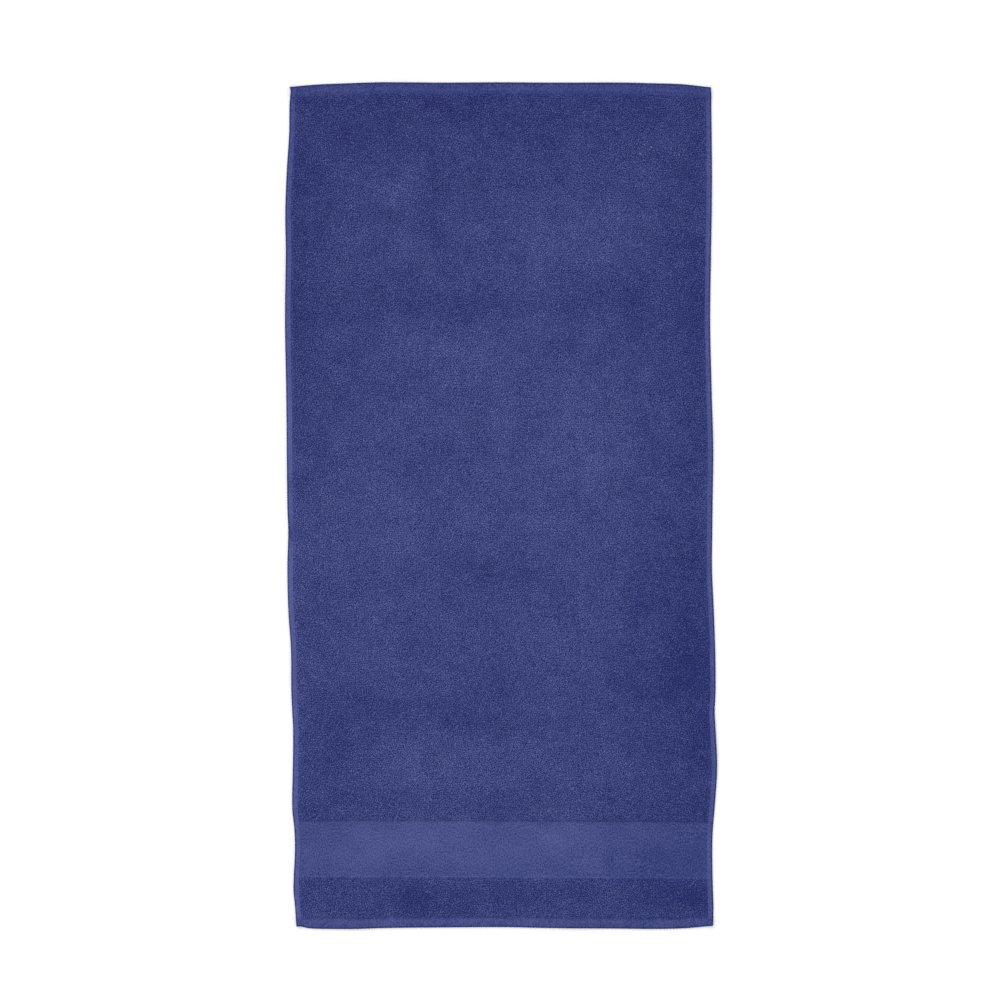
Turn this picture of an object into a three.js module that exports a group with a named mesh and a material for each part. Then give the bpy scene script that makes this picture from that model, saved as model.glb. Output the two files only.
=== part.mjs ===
// Bath towel, laid out flat with its face up.
// Millimetres, +Z up. The towel's length runs along Y, with its border end towards -Y, and its width along X.
// The origin is at the middle of the face that it rests on.

import * as THREE from 'three';

// Cut and sewn size
const TOWEL_WIDTH = 700;
const TOWEL_LENGTH = 1400;

// Zones. Distances along the length are measured down from the edge of the plain end.
const SIDE_HEM_WIDTH = 9;
const PLAIN_END_HEM_WIDTH = 18;
const BORDER_END_HEM_WIDTH = 16;
const BORDER_START = 1224;
const BORDER_WIDTH = 94;
const BORDER_FINISH = BORDER_START + BORDER_WIDTH;
const BORDER_END_HEM_START = TOWEL_LENGTH - BORDER_END_HEM_WIDTH;

// Thicknesses. Terry has a pile of loops on both faces of its ground cloth. A hem is the cloth turned over
// twice, and is thicker where two hems cross at a corner.
const GROUND_CLOTH = 0.8;
const PILE_HEIGHT = 1.9;
const TERRY_THICKNESS = GROUND_CLOTH + 2 * PILE_HEIGHT;
const BORDER_THICKNESS = 1.5;
const HEM_THICKNESS = 3 * GROUND_CLOTH;
const CORNER_THICKNESS = 5 * GROUND_CLOTH;
const PILE_SHOULDER = 3;
const FOLD_RADIUS = 1.3;
const FOLD_FLATTENING = 0.25;

// How the towel lies. The panels between the old fold creases stand a little off the surface.
const PANEL_RISE = 3.4;
const SETTLED_DEPTH = 0.6;
const EDGE_SETTLING = 70;
const BORDER_SETTLING = 45;

// Mesh lines, counted in steps across or down each zone
const STEPS_ACROSS = 22;
const STEPS_DOWN_BODY = 44;
const STEPS_DOWN_BORDER = 4;
const STEPS_DOWN_STRIP = 2;

const CLOTH_COLOUR = 0x3f477b;
const CLOTH_ROUGHNESS = 0.95;

// How far the two long edges lie outside the straight cut, at each distance down from the plain end
const LONG_EDGES = [
  { down: 0, left: 0, right: -2 },
  { down: 75, left: 1, right: -1 },
  { down: 140, left: 5, right: -0.5 },
  { down: 210, left: 7.5, right: -1 },
  { down: 275, left: 6.5, right: -2 },
  { down: 390, left: 8, right: -3.5 },
  { down: 505, left: 6, right: -1 },
  { down: 605, left: 5, right: 1.5 },
  { down: 700, left: 4, right: 0.5 },
  { down: 740, left: 2.5, right: 0 },
  { down: 800, left: 4, right: -0.5 },
  { down: 870, left: 2.5, right: 2.5 },
  { down: 940, left: -2, right: 5 },
  { down: 1005, left: -2.5, right: 5.5 },
  { down: 1040, left: -4, right: 4 },
  { down: 1070, left: -5.5, right: 5.5 },
  { down: 1135, left: -5, right: 8 },
  { down: 1200, left: -4, right: 4 },
  { down: 1235, left: -7.5, right: 1 },
  { down: 1270, left: -8.5, right: 0 },
  { down: 1335, left: -6, right: 1 },
  { down: 1365, left: -8.5, right: 2 },
  { down: 1400, left: -11, right: 1.5 },
];

// How far the two end edges lie outside the straight cut, at each distance across from the middle
const END_EDGES = [
  { across: -350, plain: -6.5, border: -2.5 },
  { across: -325, plain: -4, border: -0.5 },
  { across: -300, plain: -2, border: 1.5 },
  { across: -250, plain: 0, border: 1.5 },
  { across: -200, plain: 1.5, border: 0 },
  { across: -100, plain: 1, border: -1 },
  { across: 0, plain: 1.5, border: -1.5 },
  { across: 75, plain: 1, border: 0 },
  { across: 200, plain: 1, border: 1 },
  { across: 250, plain: 0, border: 1.5 },
  { across: 300, plain: -1.5, border: 0.5 },
  { across: 325, plain: -4, border: -1.5 },
  { across: 350, plain: -7, border: -4 },
];

// Soft troughs across the towel where it was folded. Each is deepest at middle, fades out over reach to each
// side, and drops by bow towards the two long edges.
const CROSS_CREASES = [
  { along: 632, bow: -10, middle: -60, reach: 420, halfWidth: 38, depth: 0.8 },
  { along: 316, bow: 0, middle: -250, reach: 190, halfWidth: 34, depth: 1 },
  { along: 330, bow: 0, middle: 290, reach: 150, halfWidth: 48, depth: 1 },
  { along: 300, bow: -20, middle: 60, reach: 160, halfWidth: 30, depth: 0.7 },
  { along: 112, bow: 0, middle: 10, reach: 260, halfWidth: 26, depth: 0.7 },
  { along: -108, bow: -10, middle: -10, reach: 230, halfWidth: 32, depth: 0.9 },
  { along: -92, bow: 0, middle: 300, reach: 110, halfWidth: 44, depth: 1 },
  { along: -318, bow: 62, middle: -110, reach: 290, halfWidth: 34, depth: 1 },
];

// The same lengthwise, where the two sides were folded in
const LENGTHWISE_CREASES = [
  { across: 236, middle: -10, reach: 330, halfWidth: 24, depth: 0.7 },
  { across: -238, middle: 420, reach: 240, halfWidth: 24, depth: 0.5 },
];

// Hand-sized hollows and swells that the folds don't explain
const SWELLS = [
  { across: -217, along: 600, radius: 60, rise: -0.9 },
  { across: -109, along: 465, radius: 45, rise: -1 },
  { across: 65, along: 431, radius: 80, rise: 0.7 },
  { across: -101, along: 250, radius: 80, rise: 0.6 },
  { across: 150, along: 170, radius: 90, rise: 0.6 },
  { across: -184, along: -70, radius: 70, rise: 0.7 },
  { across: 100, along: -250, radius: 90, rise: 0.5 },
  { across: 300, along: -270, radius: 80, rise: -1.2 },
  { across: -60, along: -405, radius: 90, rise: 0.6 },
  { across: 190, along: -430, radius: 60, rise: 0.6 },
];

// Where the stiffer hems ripple up off the surface
const HEM_RIPPLES = [
  { across: -352, along: 390, radius: 70, rise: 1.7 },
  { across: -350, along: 70, radius: 60, rise: 1.2 },
  { across: -345, along: -270, radius: 55, rise: 1.5 },
  { across: 350, along: 505, radius: 60, rise: 1.2 },
  { across: 352, along: 110, radius: 70, rise: 1.5 },
  { across: 356, along: -400, radius: 65, rise: 1.9 },
  { across: -160, along: 700, radius: 60, rise: 1.3 },
  { across: 185, along: 700, radius: 70, rise: 1.1 },
  { across: -345, along: 695, radius: 30, rise: 1.2 },
  { across: -240, along: -700, radius: 55, rise: 1.1 },
  { across: 125, along: -700, radius: 60, rise: 1.3 },
  { across: 350, along: -696, radius: 30, rise: 1 },
];

const LONG_FLAT = TOWEL_LENGTH / 2;
const WIDE_FLAT = TOWEL_WIDTH / 2;

// A smooth line through a table's rows, each row's slope taken from its two neighbours
function throughRows(rows, placeColumn, valueColumn, place) {
  const last = rows.length - 1;
  const held = THREE.MathUtils.clamp(place, rows[0][placeColumn], rows[last][placeColumn]);
  const next = Math.max(1, rows.findIndex((row) => row[placeColumn] >= held));
  const slopeAt = (index) => {
    const before = rows[Math.max(index - 1, 0)];
    const after = rows[Math.min(index + 1, last)];
    return (after[valueColumn] - before[valueColumn]) / (after[placeColumn] - before[placeColumn]);
  };
  const from = rows[next - 1];
  const to = rows[next];
  const span = to[placeColumn] - from[placeColumn];
  const share = (held - from[placeColumn]) / span;
  const ease = share * share * (3 - 2 * share);
  const leave = share * (1 - share) * (1 - share) * span * slopeAt(next - 1);
  const arrive = share * share * (share - 1) * span * slopeAt(next);
  return THREE.MathUtils.lerp(from[valueColumn], to[valueColumn], ease) + leave + arrive;
}

// Evenly spaced values from low to high, both included
function evenly(low, high, steps) {
  return Array.from({ length: steps + 1 }, (_, index) => THREE.MathUtils.lerp(low, high, index / steps));
}

// The mesh lines across the width, measured from the left cut edge, with a pair at each step in thickness
function linesAcross() {
  const hemLines = [0, FOLD_RADIUS, SIDE_HEM_WIDTH];
  const pileStart = SIDE_HEM_WIDTH + PILE_SHOULDER;
  const body = evenly(pileStart, TOWEL_WIDTH - pileStart, STEPS_ACROSS);
  const mirrored = hemLines.map((line) => TOWEL_WIDTH - line).reverse();
  return [...hemLines, ...body, ...mirrored];
}

// The mesh lines down the length, measured from the plain end's cut edge
function linesDown() {
  const bodyStart = PLAIN_END_HEM_WIDTH + PILE_SHOULDER;
  const bodyEnd = BORDER_START - PILE_SHOULDER;
  const stripStart = BORDER_FINISH + PILE_SHOULDER;
  const stripEnd = BORDER_END_HEM_START - PILE_SHOULDER;
  return [
    0,
    FOLD_RADIUS,
    PLAIN_END_HEM_WIDTH,
    ...evenly(bodyStart, bodyEnd, STEPS_DOWN_BODY),
    ...evenly(BORDER_START, BORDER_FINISH, STEPS_DOWN_BORDER),
    ...evenly(stripStart, stripEnd, STEPS_DOWN_STRIP),
    BORDER_END_HEM_START,
    TOWEL_LENGTH - FOLD_RADIUS,
    TOWEL_LENGTH,
  ];
}

// Where a point of the flat cut lies once the edges have their waves
function placeOnSurface(fromLeft, down) {
  const across = fromLeft - WIDE_FLAT;
  const left = -WIDE_FLAT - throughRows(LONG_EDGES, 'down', 'left', down);
  const right = WIDE_FLAT + throughRows(LONG_EDGES, 'down', 'right', down);
  const plainEnd = LONG_FLAT + throughRows(END_EDGES, 'across', 'plain', across);
  const borderEnd = -LONG_FLAT - throughRows(END_EDGES, 'across', 'border', across);
  return new THREE.Vector2(
    THREE.MathUtils.lerp(left, right, fromLeft / TOWEL_WIDTH),
    THREE.MathUtils.lerp(plainEnd, borderEnd, down / TOWEL_LENGTH),
  );
}

// 1 at the middle of a soft bump or trough, falling smoothly to 0
function falloff(distance, size) {
  return Math.exp(-((distance / size) ** 2));
}

// The height that a table of round bumps gives at a point
function bumpsAt(rows, across, along) {
  return rows.reduce((sum, row) => {
    return sum + row.rise * falloff(Math.hypot(across - row.across, along - row.along), row.radius);
  }, 0);
}

// How much of the panels' rise the old creases leave at a point
function creaseShare(across, along) {
  const crossing = CROSS_CREASES.map((crease) => {
    const bowed = crease.along - crease.bow * (across / WIDE_FLAT) ** 2;
    const strength = falloff(across - crease.middle, crease.reach);
    return 1 - crease.depth * strength * falloff(along - bowed, crease.halfWidth);
  });
  const lengthwise = LENGTHWISE_CREASES.map((crease) => {
    const strength = falloff(along - crease.middle, crease.reach);
    return 1 - crease.depth * strength * falloff(across - crease.across, crease.halfWidth);
  });
  return [...crossing, ...lengthwise].reduce((share, next) => share * next, 1);
}

// How far the underside stands off the surface. It lies flat in the creases, from the border to its end, and
// along the edges between the ripples.
function liftAt(across, along) {
  const fromSide = WIDE_FLAT - Math.abs(across);
  const fromPlainEnd = LONG_FLAT - along;
  const fromBorder = along - (LONG_FLAT - BORDER_START);
  const settling =
    THREE.MathUtils.smoothstep(fromSide, 0, EDGE_SETTLING) *
    THREE.MathUtils.smoothstep(fromPlainEnd, 0, EDGE_SETTLING) *
    THREE.MathUtils.smoothstep(fromBorder, 0, BORDER_SETTLING);
  const panels = (PANEL_RISE * creaseShare(across, along) + bumpsAt(SWELLS, across, along)) * settling;
  const ripples = bumpsAt(HEM_RIPPLES, across, along);
  return Math.max(0, panels + ripples - SETTLED_DEPTH);
}

// The cloth's thickness: hem, border band or terry, with a shoulder where the pile starts
function thicknessAt(fromLeft, down) {
  const fromSide = Math.min(fromLeft, TOWEL_WIDTH - fromLeft);
  const insideEnds = Math.min(down - PLAIN_END_HEM_WIDTH, BORDER_END_HEM_START - down);
  const insideSides = fromSide - SIDE_HEM_WIDTH;
  if (insideEnds <= 0 && insideSides <= 0) {
    return CORNER_THICKNESS;
  }
  if (insideEnds <= 0 || insideSides <= 0) {
    return HEM_THICKNESS;
  }
  const outsideBorder = Math.max(BORDER_START - down, down - BORDER_FINISH);
  if (outsideBorder <= 0) {
    return BORDER_THICKNESS;
  }
  const insidePile = Math.min(insideEnds, insideSides, outsideBorder);
  const low = outsideBorder === insidePile ? BORDER_THICKNESS : HEM_THICKNESS;
  return THREE.MathUtils.lerp(low, TERRY_THICKNESS, Math.min(1, insidePile / PILE_SHOULDER));
}

// The face's corner numbers once round the outline, anticlockwise seen from above
function outlineOf(rows, columns, at) {
  const outline = [];
  for (let row = 0; row < rows - 1; row += 1) {
    outline.push(at(row, 0));
  }
  for (let column = 0; column < columns - 1; column += 1) {
    outline.push(at(rows - 1, column));
  }
  for (let row = rows - 1; row > 0; row -= 1) {
    outline.push(at(row, columns - 1));
  }
  for (let column = columns - 1; column > 0; column -= 1) {
    outline.push(at(0, column));
  }
  return outline;
}

// The triangles of the face, of the underside, whose corners follow the face's, and of the edge between
function clothTriangles(rows, columns) {
  const triangles = [];
  const underneath = rows * columns;
  const at = (row, column) => row * columns + column;
  const addQuad = (a, b, c, d) => triangles.push(a, b, c, a, c, d);
  for (let row = 0; row < rows - 1; row += 1) {
    for (let column = 0; column < columns - 1; column += 1) {
      const corners = [at(row, column), at(row + 1, column), at(row + 1, column + 1), at(row, column + 1)];
      addQuad(...corners);
      addQuad(...corners.map((corner) => corner + underneath).reverse());
    }
  }
  const outline = outlineOf(rows, columns, at);
  for (const [index, corner] of outline.entries()) {
    const next = outline[(index + 1) % outline.length];
    addQuad(corner, corner + underneath, next + underneath, next);
  }
  return triangles;
}

// The cloth as one closed mesh. Its face and underside draw together at the folded edge.
function clothGeometry() {
  const across = linesAcross();
  const down = linesDown();
  const face = [];
  const underside = [];
  for (const distance of down) {
    for (const fromLeft of across) {
      const place = placeOnSurface(fromLeft, distance);
      const lift = liftAt(place.x, place.y);
      const thickness = thicknessAt(fromLeft, distance);
      const fromEdge = Math.min(fromLeft, TOWEL_WIDTH - fromLeft, distance, TOWEL_LENGTH - distance);
      const drawnIn = fromEdge > 0 ? 0 : thickness * FOLD_FLATTENING;
      face.push(place.x, place.y, lift + thickness - drawnIn);
      underside.push(place.x, place.y, lift + drawnIn);
    }
  }
  const geometry = new THREE.BufferGeometry();
  geometry.setAttribute('position', new THREE.Float32BufferAttribute([...face, ...underside], 3));
  geometry.setIndex(clothTriangles(down.length, across.length));
  return geometry;
}

// Puts the origin at the middle of the outline, at the height of the surface
function centreOnOutline(geometry) {
  geometry.computeBoundingBox();
  const middle = geometry.boundingBox.getCenter(new THREE.Vector3());
  geometry.translate(-middle.x, -middle.y, 0);
  geometry.computeVertexNormals();
  return geometry;
}

function makeTowel() {
  const material = new THREE.MeshStandardMaterial({
    color: CLOTH_COLOUR,
    roughness: CLOTH_ROUGHNESS,
    metalness: 0,
  });
  const towel = new THREE.Mesh(centreOnOutline(clothGeometry()), material);
  towel.name = 'towel';
  return towel;
}

const model = new THREE.Group();
model.add(makeTowel());

export default model;
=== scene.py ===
"""A terry bath towel laid out flat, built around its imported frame.

Metres, +Z up. The towel's length runs along Y, with its border end towards -Y, and its width along X.
The flat cut is measured by two distances: from_left, in from the left edge, and down, from the plain end.
"""

from collections import namedtuple
from math import pi, radians

import bpy
import numpy as np
from bpy.props import FloatProperty, FloatVectorProperty, IntProperty, PointerProperty
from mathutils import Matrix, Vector


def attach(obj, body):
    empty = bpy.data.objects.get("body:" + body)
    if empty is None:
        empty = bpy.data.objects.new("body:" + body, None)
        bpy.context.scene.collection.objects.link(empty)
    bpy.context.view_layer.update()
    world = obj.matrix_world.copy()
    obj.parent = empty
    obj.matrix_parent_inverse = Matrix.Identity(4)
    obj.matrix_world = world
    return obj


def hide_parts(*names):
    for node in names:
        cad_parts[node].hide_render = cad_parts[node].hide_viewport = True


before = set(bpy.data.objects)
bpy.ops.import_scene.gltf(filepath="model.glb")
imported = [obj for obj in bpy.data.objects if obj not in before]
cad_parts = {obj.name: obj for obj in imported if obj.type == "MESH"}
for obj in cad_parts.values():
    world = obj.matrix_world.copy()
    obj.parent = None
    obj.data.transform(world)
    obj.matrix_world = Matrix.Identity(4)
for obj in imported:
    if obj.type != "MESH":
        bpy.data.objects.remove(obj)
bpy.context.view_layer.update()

bl_info = {
    "name": "Bath towel",
    "version": (1, 0, 0),
    "blender": (4, 5, 0),
    "location": "3D View > Sidebar > Towel",
    "description": "Builds a flat-laid terry bath towel with a woven border, turned hems and a looped pile",
    "category": "Add Mesh",
}

BODY = "root"
CLOTH_NODE = "towel"

# Thicknesses of the cloth as it lies. The lower pile is pressed flat under the ground cloth.
HEM_THICKNESS = 0.0024
CORNER_THICKNESS = 0.004
BORDER_THICKNESS = 0.0015
TERRY_GROUND_TOP = 0.0026
TERRY_THICKNESS = 0.0046

# How far in a folded edge is rounded, and how wide a step in thickness is
FOLD_DEPTH = 0.0013
ZONE_BLEND = 0.0009

# Spacing of the ground cloth's mesh lines under the pile, across the border band and across the hems
BODY_GRID = 0.009
BAND_GRID = 0.003
HEM_GRID = 0.004

# Each seam runs this far from its hem's inner line, and draws a groove of this depth and half width
STITCH_INSET = 0.0021
STITCH_SINK = 0.0005
STITCH_GROOVE = 0.0008

# One stitch: a bead of thread, partly buried in the cloth, whose top is drawn together to a ridge of this
# share of its length
STITCH_PITCH = 0.0032
STITCH_LENGTH = 0.0026
STITCH_WIDTH = 0.00052
STITCH_RISE = 0.0004
STITCH_BURIED = 0.00015
STITCH_RIDGE = 0.6

# The painted highlights of the ridges beside the end hems' seams: how far from the hem's inner line, and
# their half width
PLAIN_RIDGE_INSET = 0.005
BORDER_RIDGE_INSET = 0.004
RIDGE_HALF_WIDTH = 0.004

# The rib that finishes the border band, this far in from the band's edge
RIB_RISE = 0.0005
RIB_HALF_WIDTH = 0.0008
RIB_INSET = 0.0012

# How far the terry keeps from the side hems, and how far inside its zone its ragged edge runs
SIDE_HEM_GAP = 0.0005
RAGGED_INSET = 0.0013

# How one loop differs from the next: its place as a share of the spacing, its heading, its size and height
# as shares of the usual ones, and its lean as a share of the pile's
PLACE_SPREAD = 0.26
HEADING = -pi / 4
HEADING_SPREAD = 0.9
LEAST_SIZE = 0.8
MOST_SIZE = 1.2
HEIGHT_SPREAD = 0.08
LEAN_SPREAD = 0.5
LEAN_WITH_NAP = 3
PLACE_SEED = 21
SHAPE_SEED = 41

# A loop's foot is buried in the ground cloth, and its ridge has this share of its length
LOOP_BURIED = 0.0004
LOOP_RIDGE = 0.5

# At the edge of the terry a loop has this share of its height, and this far inside the whole of it
EDGE_LEVEL = 0.72
EDGE_LEVEL_REACH = 0.004

# Shares of the way from the deep shade to the pale one: of a loop, of the flat weave, of the ground cloth
# between the loops, set darker as painted shade down among them, and of the looped underside
LOOP_TONE = 0.41
WEAVE_TONE = 0.5
SHADED_GAP_TONE = 0.25
UNDERSIDE_TONE = 0.45

# How a loop's share differs from the next one's, and the painted shade along the lines where the terry
# begins and ends
LOOP_TONE_SPREAD = 0.055
LOOP_TONE_LIMIT = 0.35
WOVEN_LINE_PAINTED_SHADE = 0.24
WOVEN_LINE_START = 0.0015
WOVEN_LINE_FINISH = 0.0045

# What the hems add to the flat weave's share or take from it, the painted highlights of the seam ridges and
# the rib, and the painted shade in the plain end's seam groove
SIDE_HEM_SHADE = 0.16
END_HEM_SHADE = 0.05
SEAM_RIDGE_HIGHLIGHT = 0.09
PLAIN_SEAM_PAINTED_SHADE = 0.12
RIB_HIGHLIGHT = 0.25

# How much less uneven the threads look on the hems, how much painted shade darkens the underside's gaps,
# and how much deeper they are
HEM_EVENNESS = 0.32
UNDERSIDE_GAP_PAINTED_SHADE = 0.6
UNDERSIDE_GAP_RELIEF = 6.0

# Painted shade at a loop's foot and painted light at its tip, as factors on its red, green and blue there.
# Light that has been down among the dyed loops comes back bluer, so the painted shade is bluer.
FOOT_SHADE_TINT = (0.71, 0.76, 1.06)
TIP_LIGHT_TINT = (1.29, 1.245, 0.99)

# Painted shade along the folded edges, where they turn down: full up to start and none past finish
OUTLINE_PAINTED_SHADE = 0.8
OUTLINE_START = 0.0012
OUTLINE_FINISH = 0.0031

# How the towel lies. The panels between the old fold creases stand a little off the surface, less the depth
# by which all of the cloth settles. They come down over these distances from its edges and its border band.
PANEL_RISE = 0.0034
SETTLED_DEPTH = 0.0006
EDGE_SETTLING = 0.07
BORDER_SETTLING = 0.045

# The border band lies slightly askew, and the waves of the end below it die out before they reach it
BAND_SKEW = 0.0021
BAND_SKEW_REACH = 0.07
END_WAVE_REACH = 0.06

# The floor and the light
FLOOR_SIZE = 60
FLOOR_COLOUR = (0.848, 0.848, 0.848)
KEY_DIRECTION = (-0.45, 0.7, 0.55)
KEY_DISTANCE = 4
KEY_SPREAD = radians(32)

# Where the middle of the picture falls on the towel
AIM_ACROSS = -0.0017
AIM_ALONG = 0.0093


# Seeded smooth noise: its strength, the size of its bumps, and a scale that widens them across when below 1
Mottle = namedtuple("Mottle", "strength size seed across_scale", defaults=[1])


def table(columns, *rows, **same):
    """Rows of numbers with their columns named, and with the values that are the same in every row"""
    row_kind = namedtuple("row_kind", [*columns.split(), *same])
    return tuple(row_kind(*row, *same.values()) for row in rows)


# How far the two long edges lie outside the straight cut, at each distance down from the plain end
LONG_EDGES = table(
    "down left right",
    (0, 0.0007, -0.002),
    (0.0045, -0.0013, -0.0022),
    (0.014, -0.0008, -0.0014),
    (0.03, 0.0005, -0.0016),
    (0.075, 0.001, -0.001),
    (0.14, 0.005, -0.0005),
    (0.21, 0.0075, -0.001),
    (0.275, 0.0065, -0.002),
    (0.39, 0.008, -0.0035),
    (0.505, 0.006, -0.001),
    (0.605, 0.005, 0.0015),
    (0.7, 0.004, 0.0005),
    (0.74, 0.0025, 0),
    (0.8, 0.004, -0.0005),
    (0.87, 0.0025, 0.0025),
    (0.94, -0.002, 0.005),
    (1.005, -0.0025, 0.0055),
    (1.04, -0.004, 0.004),
    (1.07, -0.0055, 0.0055),
    (1.135, -0.005, 0.008),
    (1.2, -0.004, 0.004),
    (1.235, -0.0075, 0.001),
    (1.27, -0.0085, 0),
    (1.335, -0.006, 0.001),
    (1.365, -0.0085, 0.002),
    (1.4, -0.011, 0.0015),
)

# How far the two end edges lie outside the straight cut, at each distance across from the middle
END_EDGES = table(
    "across plain border",
    (-0.35, -0.0065, -0.0025),
    (-0.342, -0.0057, -0.0023),
    (-0.328, -0.0042, 0.0006),
    (-0.3, -0.002, 0.0015),
    (-0.25, 0, 0.0015),
    (-0.2, 0.0015, 0),
    (-0.1, 0.001, -0.001),
    (0, 0.0015, -0.0015),
    (0.075, 0.001, 0),
    (0.2, 0.001, 0.001),
    (0.25, 0, 0.0015),
    (0.3, -0.0015, 0.0005),
    (0.325, -0.004, -0.0015),
    (0.35, -0.007, -0.004),
)

# Soft troughs across the towel where it was folded. Each is deepest at middle, fades out over reach to each
# side, drops by bow towards the two long edges, and takes away a share of the panels' rise, its depth.
CROSS_CREASES = table(
    "along bow middle reach half_width depth",
    (0.632, -0.01, -0.06, 0.42, 0.038, 0.8),
    (0.316, 0, -0.25, 0.19, 0.034, 1),
    (0.33, 0, 0.29, 0.15, 0.048, 1),
    (0.3, -0.02, 0.06, 0.16, 0.03, 0.7),
    (0.112, 0, 0.01, 0.26, 0.026, 0.7),
    (-0.108, -0.01, -0.01, 0.23, 0.032, 0.9),
    (-0.092, 0, 0.3, 0.11, 0.044, 1),
    (-0.318, 0.062, -0.11, 0.29, 0.034, 1),
)

# The same lengthwise, where the two sides were folded in
LENGTHWISE_CREASES = table(
    "across middle reach half_width depth",
    (0.236, -0.01, 0.33, 0.024, 0.7),
    (-0.238, 0.42, 0.24, 0.024, 0.5),
)

# Round hollows and swells, about a hand wide, that the folds don't explain. Each fades out over its radius.
SWELLS = table(
    "across along radius rise",
    (-0.217, 0.6, 0.06, -0.0009),
    (-0.109, 0.465, 0.045, -0.001),
    (0.065, 0.431, 0.08, 0.0007),
    (-0.101, 0.25, 0.08, 0.0006),
    (0.15, 0.17, 0.09, 0.0006),
    (-0.184, -0.07, 0.07, 0.0007),
    (0.1, -0.25, 0.09, 0.0005),
    (0.3, -0.27, 0.08, -0.0012),
    (-0.06, -0.405, 0.09, 0.0006),
    (0.19, -0.43, 0.06, 0.0006),
)

# The same where the stiffer hems ripple up off the surface
HEM_RIPPLES = table(
    "across along radius rise",
    (-0.352, 0.39, 0.07, 0.0017),
    (-0.35, 0.07, 0.06, 0.0012),
    (-0.345, -0.27, 0.055, 0.0015),
    (0.35, 0.505, 0.06, 0.0012),
    (0.352, 0.11, 0.07, 0.0015),
    (0.356, -0.4, 0.065, 0.0019),
    (-0.16, 0.7, 0.06, 0.0013),
    (0.185, 0.7, 0.07, 0.0011),
    (-0.345, 0.695, 0.03, 0.0012),
    (-0.24, -0.7, 0.055, 0.0011),
    (0.125, -0.7, 0.06, 0.0013),
    (0.35, -0.696, 0.03, 0.001),
)

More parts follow.
